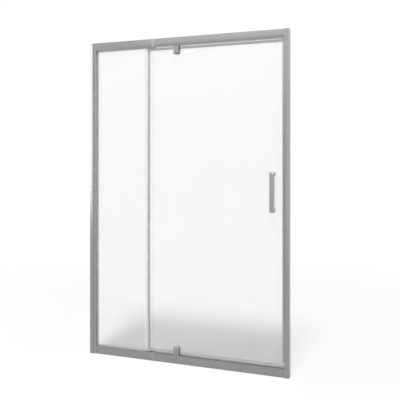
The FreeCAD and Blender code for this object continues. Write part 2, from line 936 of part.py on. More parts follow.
def pocket_fillers():
    """Snap-in strips that close the pockets where the fixed rails run on past the pane."""
    fillers = []
    for end in ends:
        leg = end.fixed_edge - sizes.filler_leg * end.inward
        floor = end.fixed_edge - sizes.filler_wall * end.inward
        inner = pocket_half - sizes.filler_wall
        section = channel(end.fixed_edge, leg, floor, pocket_half, inner, upright=True)
        fillers.append(extrude(new_body("filler"), "YZ", pane_edge, joint_x, section))
    group("pocket_fillers", fillers)


def fixed_edge_seal():
    """A clear clip on the pane's free edge with a fin that stands up to the door."""
    wall = sizes.edge_seal_wall
    outer = half_glass + wall
    back = pane_edge - sizes.edge_seal_grip
    base = pane_edge + wall
    fin = sizes.edge_seal_fin / 2
    tip = door_left - sizes.edge_seal_gap
    section = Outline(
        corner(back, -outer),
        corner(base, -outer),
        corner(base, -fin),
        corner(tip, -fin),
        corner(tip, fin),
        corner(base, fin),
        corner(base, outer),
        corner(back, outer),
        corner(back, half_glass),
        corner(pane_edge, half_glass),
        corner(pane_edge, -half_glass),
        corner(back, -half_glass),
    )
    start = bottom.fixed_edge + sizes.gasket_lip
    extrude(piece("fixed_edge_seal"), "XY", start, top.fixed_edge - sizes.gasket_lip, section)


# Closing side of the frame

def closing_stop():
    """An angle strip on the jamb that the door's right stile closes against from outside."""
    lip = door_half + sizes.stop_clearance
    back = lip + sizes.stop_thickness
    section = Outline(
        corner(jamb_inner - sizes.stop_reach, lip),
        corner(jamb_inner, lip),
        corner(jamb_inner, back + sizes.stop_flange),
        corner(jamb_inner - sizes.stop_thickness, back + sizes.stop_flange),
        corner(jamb_inner - sizes.stop_thickness, back),
        corner(jamb_inner - sizes.stop_reach, back),
    )
    extrude(piece("closing_stop"), "XY", bottom.door_edge, top.door_edge, section)


def magnet_strip(label, bed, side):
    """A magnet strip lying in its groove and standing proud towards the other one."""
    face = bed - sizes.magnet_thickness * side
    half = sizes.magnet_width / 2
    low, high = ordered(bed, face)
    start = bottom.leaf + sizes.corner_leg
    extrude(piece(label), "XY", start, top.leaf - sizes.corner_leg, rectangle(low, -half, high, half))


# Pivots in the rails

pivot_screw_places = [pivot_x - sizes.pivot_screw_spread / 2, pivot_x + sizes.pivot_screw_spread / 2]


def pivot_bush(end):
    """A flanged nylon bush: its flange carries the bracket, its sleeve sits in the rail's pivot block."""
    bore = sizes.pin_radius + sizes.running_clearance
    flange = end.door_edge + sizes.flange_thickness * end.inward
    tail = end.door_edge - sizes.bush_length * end.inward
    section = Outline(
        corner(bore, flange),
        corner(sizes.flange_radius, flange),
        corner(sizes.flange_radius, end.door_edge),
        corner(bush_radius, end.door_edge),
        corner(bush_radius, tail),
        corner(bore, tail),
    )
    turn(piece(f"{end.name}_pivot_bush"), section, pivot_x, 0, 0)


def pivot_block(end):
    """A block on the rail's inner wall that holds the bush."""
    near = end.door_edge - sizes.profile_wall * end.inward
    far = near - sizes.pivot_block_height * end.inward
    half = sizes.pivot_block_length / 2
    pilot = sizes.frame_screw_radius + sizes.thread_clearance
    holes = [Round(pivot_x, 0, bush_hole)]
    holes += [Round(x, 0, pilot) for x in pivot_screw_places]
    section = rectangle(pivot_x - half, -block_half, pivot_x + half, block_half)
    extrude(piece(f"{end.name}_pivot_block"), "XY", *ordered(near, far), section, *holes)


def pivot_block_screws():
    shape = (
        sizes.frame_screw_radius,
        sizes.pivot_screw_length,
        sizes.frame_screw_head_radius,
        sizes.profile_wall,
    )
    screws = []
    for end, direction in ((top, "+Z"), (bottom, "-Z")):
        for x in pivot_screw_places:
            screws.append(countersunk_screw(x, 0, end.door_edge, direction, *shape))
    group("pivot_block_screws", screws)


# Door leaf

bracket_screw_places = [
    pivot_x - sizes.bracket_screw_spread / 2,
    pivot_x + sizes.bracket_screw_spread / 2,
]
notch_half = sizes.core_width / 2 + sizes.notch_clearance


def bracket_screw_holes(end, radius):
    return [Round(x, end.bracket_screw, radius) for x in bracket_screw_places]


def door_glass():
    """The leaf's pane, notched for both pivot cores and drilled for brackets and handle."""
    pane = Outline(
        corner(glass_left, bottom.glass),
        corner(pivot_x - notch_half, bottom.glass),
        corner(pivot_x - notch_half, bottom.notch),
        corner(pivot_x + notch_half, bottom.notch),
        corner(pivot_x + notch_half, bottom.glass),
        corner(glass_right, bottom.glass),
        corner(glass_right, top.glass),
        corner(pivot_x + notch_half, top.glass),
        corner(pivot_x + notch_half, top.notch),
        corner(pivot_x - notch_half, top.notch),
        corner(pivot_x - notch_half, top.glass),
        corner(glass_left, top.glass),
    )
    holes = [Round(handle_x, height, handle_glass_hole) for height in handle_screw_heights]
    for end in ends:
        holes += bracket_screw_holes(end, glass_hole)
    extrude(piece("door_glass"), "XZ", -half_glass, half_glass, pane, *holes)


slot_depth = sizes.door_glass_cover + sizes.door_gasket


def door_stiles():
    start = bottom.leaf + sizes.corner_leg
    stop = top.leaf - sizes.corner_leg
    left_tip = door_left + sizes.door_left_width
    right_tip = door_right - sizes.door_right_width
    bend = sizes.door_profile_corner
    left = channel(door_left, left_tip, left_tip - slot_depth, door_half, slot_half, radius=bend)
    extrude(piece("door_left_stile"), "XY", start, stop, left)
    right = channel(
        door_right,
        right_tip,
        right_tip + slot_depth,
        door_half,
        slot_half,
        radius=bend,
        groove=magnet_groove,
    )
    extrude(piece("door_right_stile"), "XY", start, stop, right)


def door_profiles(end):
    """The leaf's edge profile above or below the glass, in a length on each side of the bracket."""
    tip = end.leaf + sizes.door_rail_width * end.inward
    floor = tip - slot_depth * end.inward
    bend = sizes.door_profile_corner
    section = channel(end.leaf, tip, floor, door_half, slot_half, upright=True, radius=bend)
    left_start = door_left + sizes.corner_leg
    right_stop = door_right - sizes.corner_leg
    extrude(piece(f"door_{end.name}_profile_left"), "YZ", left_start, bracket_left, section)
    extrude(piece(f"door_{end.name}_profile_right"), "YZ", bracket_right, right_stop, section)


def door_corner(end, name, edge, width, side):
    """A moulded corner piece, slotted for the glass, that joins a stile to the edge profiles."""
    leg = sizes.corner_leg
    rail = sizes.door_rail_width
    outline = Outline(
        corner(edge, end.leaf, sizes.corner_radius),
        corner(edge + leg * side, end.leaf),
        corner(edge + leg * side, end.leaf + rail * end.inward),
        corner(edge + width * side, end.leaf + rail * end.inward),
        corner(edge + width * side, end.leaf + leg * end.inward),
        corner(edge, end.leaf + leg * end.inward),
    )
    body = piece(f"door_corner_{end.name}_{name}")
    extrude(body, "XZ", -door_half, door_half, outline)
    past = leg + sizes.overrun
    slot = rectangle(
        edge + (width - slot_depth) * side,
        end.leaf + (rail - slot_depth) * end.inward,
        edge + past * side,
        end.leaf + past * end.inward,
    )
    cut(body, "XZ", -slot_half, slot_half, slot)


def door_gaskets():
    """U-section gaskets between the glass and the leaf's profiles."""
    skin = sizes.door_gasket
    low = bottom.glass - skin
    high = top.glass + skin
    left_tip = door_left + sizes.door_left_width
    right_tip = door_right - sizes.door_right_width
    left = channel(glass_left - skin, left_tip, glass_left, slot_half, half_glass)
    right = channel(glass_right + skin, right_tip, glass_right, slot_half, half_glass)
    gaskets = [
        extrude(new_body("gasket"), "XY", low, high, left),
        extrude(new_body("gasket"), "XY", low, high, right),
    ]
    for end in ends:
        base = end.glass - skin * end.inward
        tip = end.leaf + sizes.door_rail_width * end.inward
        section = channel(base, tip, end.glass, slot_half, half_glass, upright=True)
        gaskets.append(extrude(new_body("gasket"), "YZ", left_tip, bracket_left, section))
        gaskets.append(extrude(new_body("gasket"), "YZ", bracket_right, right_tip, section))
    group("door_glazing_gaskets", gaskets)


def door_seal_strip():
    """A clear strip on the glass beside the left stile."""
    left = door_left + sizes.door_left_width
    strip = rectangle(
        left,
        bottom.leaf + sizes.door_rail_width,
        left + sizes.seal_strip_width,
        top.leaf - sizes.door_rail_width,
    )
    outer = -half_glass - sizes.seal_strip_thickness
    extrude(piece("door_seal_strip"), "XZ", outer, -half_glass, strip)


def door_drip_seal():
    """A blade under the leaf that hangs close over the sill, broken at the pivot bracket."""
    foot = sizes.drip_foot_width / 2
    blade = sizes.drip_blade / 2
    under = bottom.leaf - sizes.drip_foot_thickness
    tip = bottom.leaf - sizes.drip_reach
    section = Outline(
        corner(-foot, bottom.leaf),
        corner(-foot, under),
        corner(-blade, under),
        corner(-blade, tip),
        corner(blade, tip),
        corner(blade, under),
        corner(foot, under),
        corner(foot, bottom.leaf),
    )
    stretches = [
        (joint_x + sizes.joint_strip_width / 2 + sizes.drip_end_gap, bracket_left - sizes.drip_end_gap),
        (bracket_right + sizes.drip_end_gap, door_right - sizes.corner_radius - sizes.drip_end_gap),
    ]
    group("door_drip_seal", [extrude(new_body("drip"), "YZ", *stretch, section) for stretch in stretches])


# Pivot brackets on the leaf

def bracket_plate_outline(end):
    """The bracket seen from the front: square towards the rail, rounded towards the middle of the door."""
    bend = sizes.bracket_edge_round
    return [
        corner(bracket_left, end.bracket),
        corner(bracket_left, end.bracket_far, bend),
        corner(bracket_right, end.bracket_far, bend),
        corner(bracket_right, end.bracket),
    ]


def pivot_bracket(end):
    """The outer half: a deep block with a rounded far end, and the core that fills the glass notch."""
    body = piece(f"{end.name}_pivot_bracket")
    outer = plate_front + sizes.bracket_depth
    core_back = plate_front + sizes.clamp_plate_thickness
    core_far = end.notch - sizes.notch_clearance * end.inward
    core = sizes.core_width / 2
    side_view = Outline(
        corner(-plate_front, end.bracket),
        corner(-outer, end.bracket),
        corner(-outer, end.bracket_far, sizes.bracket_far_round),
        corner(-plate_front, end.bracket_far),
    )
    extrude(body, "YZ", bracket_left, bracket_right, side_view)
    middle = -plate_front - sizes.bracket_depth / 2
    round_edges(body, sizes.bracket_edge_round, lambda edge: climbs_front(edge, middle))
    core_view = rectangle(pivot_x - core, end.bracket, pivot_x + core, core_far)
    extrude(body, "XZ", -plate_front, core_back, core_view)
    seat_end = end.bracket + sizes.pin_seat * end.inward
    seat_mouth = end.bracket - sizes.overrun * end.inward
    pin_hole = Round(pivot_x, 0, sizes.pin_radius + sizes.press_clearance)
    cut(body, "XY", *ordered(seat_end, seat_mouth), pin_hole)
    thread = sizes.bracket_screw_radius + sizes.thread_clearance
    hole_end = -plate_front - sizes.bracket_screw_bite - sizes.overrun
    cut(body, "XZ", hole_end, sizes.overrun - plate_front, *bracket_screw_holes(end, thread))


def climbs_front(edge, middle):
    """An upright edge that lies wholly outside the middle of a piece's depth."""
    box = edge.BoundBox
    return box.YMax < middle.number and box.ZLength > box.XLength


def crosses_front(edge, middle):
    """A level edge that lies wholly outside the middle of a piece's depth."""
    box = edge.BoundBox
    return box.YMax < middle.number and box.XLength > box.ZLength


def pivot_clamp_plate(end):
    """The inner half, cut out round the core, that the bracket screws draw against the glass."""
    gap = sizes.core_width / 2 + sizes.core_clearance
    far = end.notch - (sizes.notch_clearance - sizes.core_clearance) * end.inward
    outline = Outline(
        *bracket_plate_outline(end),
        corner(pivot_x + gap, end.bracket),
        corner(pivot_x + gap, far),
        corner(pivot_x - gap, far),
        corner(pivot_x - gap, end.bracket),
    )
    back = plate_front + sizes.clamp_plate_thickness
    body = piece(f"{end.name}_pivot_clamp_plate")
    hole = sizes.bracket_screw_radius + sizes.screw_clearance
    extrude(body, "XZ", plate_front, back, outline, *bracket_screw_holes(end, hole))
    head = sizes.bracket_screw_head_radius + sizes.screw_clearance
    head_bed = back - sizes.bracket_screw_head_height
    cut(body, "XZ", head_bed, back + sizes.overrun, *bracket_screw_holes(end, head))


def pivot_pads():
    """Soft pads between the bracket halves and the glass, outside and inside, top and bottom."""
    pads = []
    for end in ends:
        bend = sizes.bracket_edge_round
        outline = Outline(
            corner(bracket_left, end.glass),
            corner(bracket_left, end.bracket_far, bend),
            corner(bracket_right, end.bracket_far, bend),
            corner(bracket_right, end.glass),
            corner(pivot_x + notch_half, end.glass),
            corner(pivot_x + notch_half, end.notch),
            corner(pivot_x - notch_half, end.notch),
            corner(pivot_x - notch_half, end.glass),
        )
        for start, stop in ((-plate_front, -half_glass), (half_glass, plate_front)):
            holes = bracket_screw_holes(end, glass_hole)
            pads.append(extrude(new_body("pad"), "XZ", start, stop, outline, *holes))
    group("pivot_pads", pads)


def pivot_pin(end):
    """A steel pin pressed into the core, its free end turning in the bush."""
    radius = sizes.pin_radius
    seat = end.bracket + sizes.pin_seat * end.inward
    tip = end.door_edge - sizes.pin_reach * end.inward
    shoulder = tip + sizes.pin_chamfer * end.inward
    section = Outline(
        corner(0, seat),
        corner(radius, seat),
        corner(radius, shoulder),
        corner(radius - sizes.pin_chamfer, tip),
        corner(0, tip),
    )
    turn(piece(f"{end.name}_pivot_pin"), section, pivot_x, 0, 0)


def pivot_bracket_screws():
    bed = plate_front + sizes.clamp_plate_thickness - sizes.bracket_screw_head_height
    shape = (
        sizes.bracket_screw_radius,
        bed + plate_front + sizes.bracket_screw_bite,
        sizes.bracket_screw_head_radius,
        sizes.bracket_screw_head_height,
    )
    screws = []
    for end in ends:
        for x in bracket_screw_places:
            screws.append(pan_screw(x, bed, end.bracket_screw, "-Y", *shape))
    group("pivot_bracket_screws", screws)


# Handle

def handle():
    """A bow handle: a grip with a swelling front, on two legs that stand on the glass."""
    body = piece("handle")
    foot = -half_glass - sizes.pad_thickness
    front = -half_glass - sizes.handle_reach
    shoulder = front + sizes.handle_bow
    grip = front + sizes.handle_bar
    left = handle_x - sizes.handle_width / 2
    right = handle_x + sizes.handle_width / 2
    plan = Outline(
        corner(left, shoulder, bow=sizes.handle_bow),
        corner(right, shoulder),
        corner(right, foot),
        corner(left, foot),
    )
    extrude(body, "XY", sizes.handle_low, handle_high, plan)
    gap_low = sizes.handle_low + sizes.handle_leg
    gap_high = handle_high - sizes.handle_leg
    finger_gap = Outline(
        corner(grip, gap_low, sizes.handle_inner_round),
        corner(foot + sizes.overrun, gap_low),
        corner(foot + sizes.overrun, gap_high),
        corner(grip, gap_high, sizes.handle_inner_round),
    )
    cut(body, "YZ", left - sizes.overrun, right + sizes.overrun, finger_gap)
    middle = front + sizes.handle_bar / 2
    round_edges(body, sizes.handle_outer_round, lambda edge: crosses_front(edge, middle))
    round_edges(body, sizes.handle_edge_round, lambda edge: climbs_front(edge, middle))
    thread = sizes.handle_screw_radius + sizes.thread_clearance
    holes = [Round(handle_x, height, thread) for height in handle_screw_heights]
    hole_end = foot - sizes.handle_screw_bite - sizes.overrun
    cut(body, "XZ", hole_end, foot + sizes.overrun, *holes)


def handle_fixings():
    """What holds the handle: pads outside, and washers, bevelled caps and screws inside."""
    half = sizes.handle_width / 2
    front_pads = []
    washers = []
    caps = []
    screws = []
    hole = sizes.handle_screw_radius + sizes.screw_clearance
    washer_back = half_glass + sizes.pad_thickness
    cap_bed = washer_back + sizes.handle_cap_height - sizes.handle_screw_head_height
    screw_shape = (
        sizes.handle_screw_radius,
        cap_bed + half_glass + sizes.pad_thickness + sizes.handle_screw_bite,
        sizes.handle_screw_head_radius,
        sizes.handle_screw_head_height,
    )
    for height in handle_screw_heights:
        leg = sizes.handle_leg / 2
        pad = rectangle(handle_x - half, height - leg, handle_x + half, height + leg)
        opening = Round(handle_x, height, handle_glass_hole)
        front_pads.append(
            extrude(new_body("pad"), "XZ", -half_glass - sizes.pad_thickness, -half_glass, pad, opening)
        )
        ring = Round(handle_x, height, sizes.handle_washer_radius)
        bore = Round(handle_x, height, hole)
        washers.append(extrude(new_body("washer"), "XZ", half_glass, washer_back, ring, bore))
        caps.append(handle_cap(height, washer_back, hole))
        screws.append(pan_screw(handle_x, cap_bed, height, "-Y", *screw_shape))
    group("handle_pads", front_pads)
    group("handle_washers", washers)
    group("handle_caps", caps)
    group("handle_screws", screws)


def handle_cap(height, seat, hole):
    """A turned cap with a bevelled rim and a counterbore for the screw's head."""
    head = sizes.handle_screw_head_radius + sizes.screw_clearance
    rim = sizes.handle_cap_radius
    tall = sizes.handle_cap_height
    bevel = sizes.handle_cap_chamfer
    bed = tall - sizes.handle_screw_head_height
    section = Outline(
        corner(hole, 0),
        corner(rim, 0),
        corner(rim, bevel - tall),
        corner(rim - bevel, -tall),
        corner(head, -tall),
        corner(head, -bed),
        corner(hole, -bed),
    )
    return turn(new_body("cap"), section, handle_x, seat, height, "-Y")


# The whole unit

def build():
    wall_profile("left_wall_profile", -1)
    wall_profile("right_wall_profile", 1)
    profile_cap("left_profile_cap", -1, stile_inner)
    profile_cap("right_profile_cap", 1, jamb_inner)
    left_stile()
    strike_jamb()
    fixed_glass()
    fixed_gaskets()
    pocket_fillers()
    fixed_edge_seal()
    closing_stop()
    magnet_strip("jamb_magnet", jamb_inner + magnet_groove.depth, 1)
    corner_blocks()
    frame_screws()
    clamp_screws()
    pivot_block_screws()
    door_glass()
    door_stiles()
    door_gaskets()
    door_seal_strip()
    door_drip_seal()
    magnet_strip("door_magnet", door_right - magnet_groove.depth, -1)
    for end in ends:
        fixed_rail(end)
        door_rail(end)
        joint_strip(end)
        rail_splice(end)
        pivot_bush(end)
        pivot_block(end)
        door_profiles(end)
        door_corner(end, "left", door_left, sizes.door_left_width, 1)
        door_corner(end, "right", door_right, sizes.door_right_width, -1)
        pivot_bracket(end)
        pivot_clamp_plate(end)
        pivot_pin(end)
    pivot_pads()
    pivot_bracket_screws()
    handle()
    handle_fixings()
    doc.recompute()


def check():
    for thing in doc.Objects:
        if "Invalid" in thing.State or "Error" in thing.State:
            raise ValueError(f"{thing.Label} did not build: {thing.State}")
    for label, thing in pieces.items():
        if thing.Shape.isNull() or not thing.Shape.isValid():
            raise ValueError(f"{label} has no sound shape")


def write():
    os.makedirs("parts", exist_ok=True)
    for label, thing in pieces.items():
        thing.Shape.exportStep(f"parts/{label}.step")
        print(label, len(thing.Shape.Solids), round(thing.Shape.Volume))


build()
check()
write()
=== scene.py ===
# %% [markdown]
# # A pivot shower door in frosted glass
# The measured solids of the door come in as a fixed frame: rails, posts, panes, brackets and handle are
# already in place, in metres. What is left for Blender is what the eye judges: the satin of the metal,
# the frost in the glass, the soft seals, the drives in the screw heads, and the light. Loading comes
# first, because every later size is read from these solids instead of being typed again.

# %% Load the measured solids
import json
import math

import bpy
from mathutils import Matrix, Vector


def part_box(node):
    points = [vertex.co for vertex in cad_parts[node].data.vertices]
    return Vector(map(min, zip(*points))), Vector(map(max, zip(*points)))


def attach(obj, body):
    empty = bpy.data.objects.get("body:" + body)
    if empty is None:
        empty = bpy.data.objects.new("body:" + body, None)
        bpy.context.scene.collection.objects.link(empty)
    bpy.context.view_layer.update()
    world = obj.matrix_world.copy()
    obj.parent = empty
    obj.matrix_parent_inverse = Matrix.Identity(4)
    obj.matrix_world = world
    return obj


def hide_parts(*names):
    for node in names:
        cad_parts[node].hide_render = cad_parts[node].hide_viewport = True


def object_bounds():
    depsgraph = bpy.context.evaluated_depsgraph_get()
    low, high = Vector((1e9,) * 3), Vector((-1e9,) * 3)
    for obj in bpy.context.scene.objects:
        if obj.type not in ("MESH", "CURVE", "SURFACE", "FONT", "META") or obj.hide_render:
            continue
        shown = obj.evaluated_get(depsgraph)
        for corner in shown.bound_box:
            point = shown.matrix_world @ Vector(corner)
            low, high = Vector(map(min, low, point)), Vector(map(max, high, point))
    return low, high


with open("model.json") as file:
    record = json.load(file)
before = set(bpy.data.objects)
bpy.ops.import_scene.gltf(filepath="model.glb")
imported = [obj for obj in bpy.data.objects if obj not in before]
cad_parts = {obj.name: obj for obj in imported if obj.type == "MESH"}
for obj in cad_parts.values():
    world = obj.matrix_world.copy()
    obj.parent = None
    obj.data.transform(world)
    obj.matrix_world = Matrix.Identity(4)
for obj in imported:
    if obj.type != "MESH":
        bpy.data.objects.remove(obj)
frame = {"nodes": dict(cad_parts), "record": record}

cad_box = [list(corner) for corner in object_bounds()]
nodes = frame["nodes"]
slot_of = {part["node"]: part["material_slot"] for part in frame["record"]["subparts"]}
print("solids:", len(nodes), "box in metres:", cad_box)

# %% [markdown]
# ## Writing shaders as sums
# A material is a graph of nodes. It could be wired link by link, but maths on it is easier to read as a
# formula. So one small class wraps an output socket, and Python's operators on it add Math nodes. The
# reflected forms let a plain number stand on the left as well.

# %% A socket that takes part in sums


class Signal:
    """An output socket that takes part in Python sums."""

    def __init__(self, graph, socket):
        self.graph = graph
        self.socket = socket

    def output(self, name):
        """Another output of the same node."""
        return Signal(self.graph, self.socket.node.outputs[name])

    def __add__(self, other):
        return self.graph.maths("ADD", self, other)

    def __radd__(self, other):
        return self.graph.maths("ADD", other, self)

    def __sub__(self, other):
        return self.graph.maths("SUBTRACT", self, other)

    def __rsub__(self, other):
        return self.graph.maths("SUBTRACT", other, self)

    def __mul__(self, other):
        return self.graph.maths("MULTIPLY", self, other)

    def __rmul__(self, other):
        return self.graph.maths("MULTIPLY", other, self)


print("operators: + - *")

# %% [markdown]
# All other nodes come from one method of a second class, which holds the graph being made: the node's
# type, then its settings, then the values or links of its sockets. The class also has the few
# combinations that nearly every finish here needs: a mixed colour, a noise counted in grains per metre, a
# bump, and the shader.

# %% The graph of a material or of the world

MIX_FIRST, MIX_SECOND, MIX_RESULT = 6, 7, 2


class Graph:
    """The nodes of a material or of the world."""

    def __init__(self, owner):
        owner.use_nodes = True
        self.owner = owner
        self.tree = owner.node_tree
        self.tree.nodes.clear()

    def node(self, kind, settings=None, inputs=None, output=0):
        made = self.tree.nodes.new(kind)
        for name, value in (settings or {}).items():
            setattr(made, name, value)
        for name, value in (inputs or {}).items():
            if isinstance(value, Signal):
                self.tree.links.new(value.socket, made.inputs[name])
            else:
                made.inputs[name].default_value = value
        return Signal(self, made.outputs[output]) if made.outputs else None

    def maths(self, operation, first, second):
        return self.node("ShaderNodeMath", {"operation": operation}, {0: first, 1: second})

    def mix(self, share, first, second):
        """A colour between two colours. A Mix node keeps its colour sockets behind those for numbers."""
        colours = {0: share, MIX_FIRST: first, MIX_SECOND: second}
        return self.node("ShaderNodeMix", {"data_type": "RGBA"}, colours, output=MIX_RESULT)

    def noise(self, grains_per_metre, detail=3.0):
        """Fractal noise from 0 to 1 whose grain is counted per metre along X, Y and Z."""
        place = self.node("ShaderNodeTexCoord").output("Object")
        scaled = self.node("ShaderNodeMapping", inputs={"Vector": place, "Scale": grains_per_metre})
        return self.node("ShaderNodeTexNoise", inputs={"Vector": scaled, "Scale": 1.0, "Detail": detail})

    def bump(self, height, depth):
        """A normal tilted by a height signal. Depth is in metres."""
        return self.node("ShaderNodeBump", inputs={"Height": height, "Distance": depth})

    def surface(self, inputs):
        """The graph's one shader, linked to its output."""
        shader = self.node("ShaderNodeBsdfPrincipled", inputs=inputs)
        self.node("ShaderNodeOutputMaterial", inputs={"Surface": shader})
        return self.owner


def new_material(name):
    return Graph(bpy.data.materials.new(name))


print("node graphs ready")

# %% [markdown]
# ## Satin aluminium
# The bars of the frame are aluminium, pressed through a die, etched and anodised, so they keep fine lines
# along their length and a cloudy, even satin over them. A picture of brushed metal could be laid on, but
# a noise that is stretched along the bar needs no file: many grains across the bar and few along it. The
# same noise moves the roughness, the tone and a very shallow bump, so that they agree. Some bars also
# carry painted light and shade in their tone: the sill is painted a little darker than the frame, as
# painted shade along the bottom, and the leaf's stiles are painted brighter, the right one a little and
# the left one much, as painted light on stiles that lie in shade. The top joint's strip is brighter too.

# %% Satin aluminium with its lines along X or along Z

ALUMINIUM_LIGHT = (0.312, 0.315, 0.305)
ALUMINIUM_DARK = (0.275, 0.278, 0.268)
ALUMINIUM_ROUGHNESS = 0.20
# The sill's 0.92 is painted shade; leaf 1.2 on the right stile and edge 1.7 on the left stile are painted
# light.
BAR_TONES_WITH_PAINTED_LIGHT_AND_SHADE = {"frame": 1.0, "sill": 0.92, "leaf": 1.2, "edge": 1.7, "strip": 1.2}
LINES_ALONG = {"X": (5.0, 1400.0, 1400.0), "Z": (1400.0, 1400.0, 5.0)}
LINES_ROUGHEN = 0.08
LINES_DEPTH = 0.00002
ANODISED_CLOUD = (14.0, 14.0, 14.0)
CLOUD_ROUGHENS = 0.05


def tone(colour, times=1.0):
    """A colour with its alpha, made darker or brighter."""
    return (*[channel * times for channel in colour], 1.0)


def satin_aluminium(place, direction):
    graph = new_material(f"satin_aluminium_{place}_{direction.lower()}")
    lines = graph.noise(LINES_ALONG[direction])
    cloud = graph.noise(ANODISED_CLOUD, detail=2.0)
    # The bar's factor paints shade on the sill and light on the leaf's stiles.
    dark = tone(ALUMINIUM_DARK, BAR_TONES_WITH_PAINTED_LIGHT_AND_SHADE[place])
    light = tone(ALUMINIUM_LIGHT, BAR_TONES_WITH_PAINTED_LIGHT_AND_SHADE[place])
    return graph.surface({
        "Base Color": graph.mix(lines * 0.5 + cloud * 0.5, dark, light),
        "Metallic": 1.0,
        "Roughness": ALUMINIUM_ROUGHNESS + lines * LINES_ROUGHEN + cloud * CLOUD_ROUGHENS,
        "Normal": graph.bump(lines, LINES_DEPTH),
    })


aluminium = {(place, way): satin_aluminium(place, way) for place in BAR_TONES_WITH_PAINTED_LIGHT_AND_SHADE for way in LINES_ALONG}
print("satin aluminium:", [material.name for material in aluminium.values()])

# %% [markdown]
# ## Satin chrome
# The handle and the pivot brackets are cast, plated and then brushed to a satin. Their grain has no
# single direction, so this noise is nearly even in all three axes. Handle and brackets could have a
# function each, but only the tone and the roughness differ: the handle is the brighter and smoother of
# the two.

# %% Satin chrome for handle and brackets

CHROME_LIGHT = (0.38, 0.385, 0.375)
CHROME_DARK = (0.32, 0.325, 0.315)
BRUSHED_GRAIN = (900.0, 900.0, 350.0)
BRUSHING_ROUGHENS = 0.10
BRUSHED_DEPTH = 0.00002
PLATED_CLOUD = (30.0, 30.0, 30.0)


def satin_chrome(place, times, roughness):
    graph = new_material(f"satin_chrome_{place}")
    grain = graph.noise(BRUSHED_GRAIN)
    cloud = graph.noise(PLATED_CLOUD, detail=2.0)
    dark = tone(CHROME_DARK, times)
    light = tone(CHROME_LIGHT, times)
    return graph.surface({
        "Base Color": graph.mix(grain * 0.4 + cloud * 0.6, dark, light),
        "Metallic": 1.0,
        "Roughness": roughness + grain * BRUSHING_ROUGHENS + cloud * CLOUD_ROUGHENS,
        "Normal": graph.bump(grain, BRUSHED_DEPTH),
    })


handle_chrome = satin_chrome("handle", times=0.94, roughness=0.28)
bracket_chrome = satin_chrome("bracket", times=0.78, roughness=0.40)
print("satin chrome:", handle_chrome.name, bracket_chrome.name)

# %% [markdown]
# ## Stainless steel
# Screws and pins are plain steel, headed from drawn wire. The chrome's even grain could serve here too,
# but wire keeps its lines. The screws of the leaf lie along Y, so the noise has fewest grains that way
# and its lines run along their shanks. The steel is brighter and smoother than the plating.

# %% Stainless steel for screws and pins

STEEL_LIGHT = (0.52, 0.52, 0.51)
STEEL_DARK = (0.38, 0.38, 0.38)
STEEL_ROUGHNESS = 0.22
WIRE_LINES = (2500.0, 400.0, 2500.0)
WIRE_ROUGHENS = 0.16
WIRE_DEPTH = 0.00001


def stainless_steel():
    graph = new_material("stainless_steel")
    lines = graph.noise(WIRE_LINES)
    return graph.surface({
        "Base Color": graph.mix(lines, tone(STEEL_DARK), tone(STEEL_LIGHT)),
        "Metallic": 1.0,
        "Roughness": STEEL_ROUGHNESS + lines * WIRE_ROUGHENS,
        "Normal": graph.bump(lines, WIRE_DEPTH),
    })


steel = stainless_steel()
print("steel:", steel.name)

# %% [markdown]
# ## Frosted glass
# The panes are clear glass with one side etched, so they let most light through and blur it. A plain
# white translucent sheet would look alike from the front, but a Principled shader with a high
# transmission and some roughness blurs what stands behind as real frost does, and keeps the gloss. The
# etch is uneven at the scale of a grain of sand and, very faintly, at the scale of a hand, and two noises
# stand for these.

# %% Frosted glass

GLASS_CLEAR = (0.955, 0.955, 0.955)
GLASS_MILKY = (0.944, 0.946, 0.944)
GLASS_ROUGHNESS = 0.22
GLASS_IOR = 1.5
GLASS_TRANSMISSION = 0.88
ETCH_GRAIN = (1800.0, 1800.0, 1800.0)
ETCH_ROUGHENS = 0.05
ETCH_DEPTH = 0.000005
FROST_CLOUD = (7.0, 7.0, 7.0)
FROST_ROUGHENS = 0.02


def frosted_glass():
    graph = new_material("frosted_glass")
    etch = graph.noise(ETCH_GRAIN, detail=2.0)
    cloud = graph.noise(FROST_CLOUD, detail=2.0)
    return graph.surface({
        "Base Color": graph.mix(cloud, tone(GLASS_MILKY), tone(GLASS_CLEAR)),
        "Roughness": GLASS_ROUGHNESS + etch * ETCH_ROUGHENS + cloud * FROST_ROUGHENS,
        "IOR": GLASS_IOR,
        "Transmission Weight": GLASS_TRANSMISSION,
        "Normal": graph.bump(etch, ETCH_DEPTH),
    })


glass = frosted_glass()
print("glass:", glass.name)

# %% [markdown]
# ## Clear seals
# The seals are clear soft plastic that shows as a faint band on the glass. They could be made as glass
# too, but such a thin strip hardly bends light, so a low Alpha is enough and renders with less noise. The
# streaks run upright, as the seals do. The water bar along the leaf's bottom edge is made the same way,
# greyer and less clear.

# %% Clear soft plastic

SEAL_ROUGHNESS = 0.22
STREAK_GRAIN = (300.0, 300.0, 12.0)
STREAK_ROUGHENS = 0.14
STREAK_DULLS = 0.06
STREAK_DEPTH = 0.00003


def clear_seal(name, dark, light, alpha):
    graph = new_material(name)
    streak = graph.noise(STREAK_GRAIN)
    return graph.surface({
        "Base Color": graph.mix(streak, tone(dark), tone(light)),
        "Roughness": SEAL_ROUGHNESS + streak * STREAK_ROUGHENS,
        "Alpha": alpha + streak * STREAK_DULLS,
        "Normal": graph.bump(streak, STREAK_DEPTH),
    })


seal = clear_seal("clear_seal", dark=(0.80, 0.81, 0.80), light=(0.88, 0.89, 0.88), alpha=0.06)
water_bar = clear_seal("water_bar", dark=(0.40, 0.405, 0.40), light=(0.48, 0.485, 0.48), alpha=0.24)
print("clear plastic:", seal.name, water_bar.name)

# %% [markdown]
# ## Rubber and moulded plastic
# Gaskets, pads and the drip seal are grey rubber with a dull skin. Corner pieces, profile caps and
# fillers are moulded in about the colour of the metal, with the fine spark texture of their mould. Blocks
# and bushes inside are white nylon, and the magnet strips are pale, like the seals beside them. Each
# could be made from scratch, but all are one kind of skin in different tones, so one function makes them
# from a short table.

# %% Dull skins of rubber, plastic and nylon

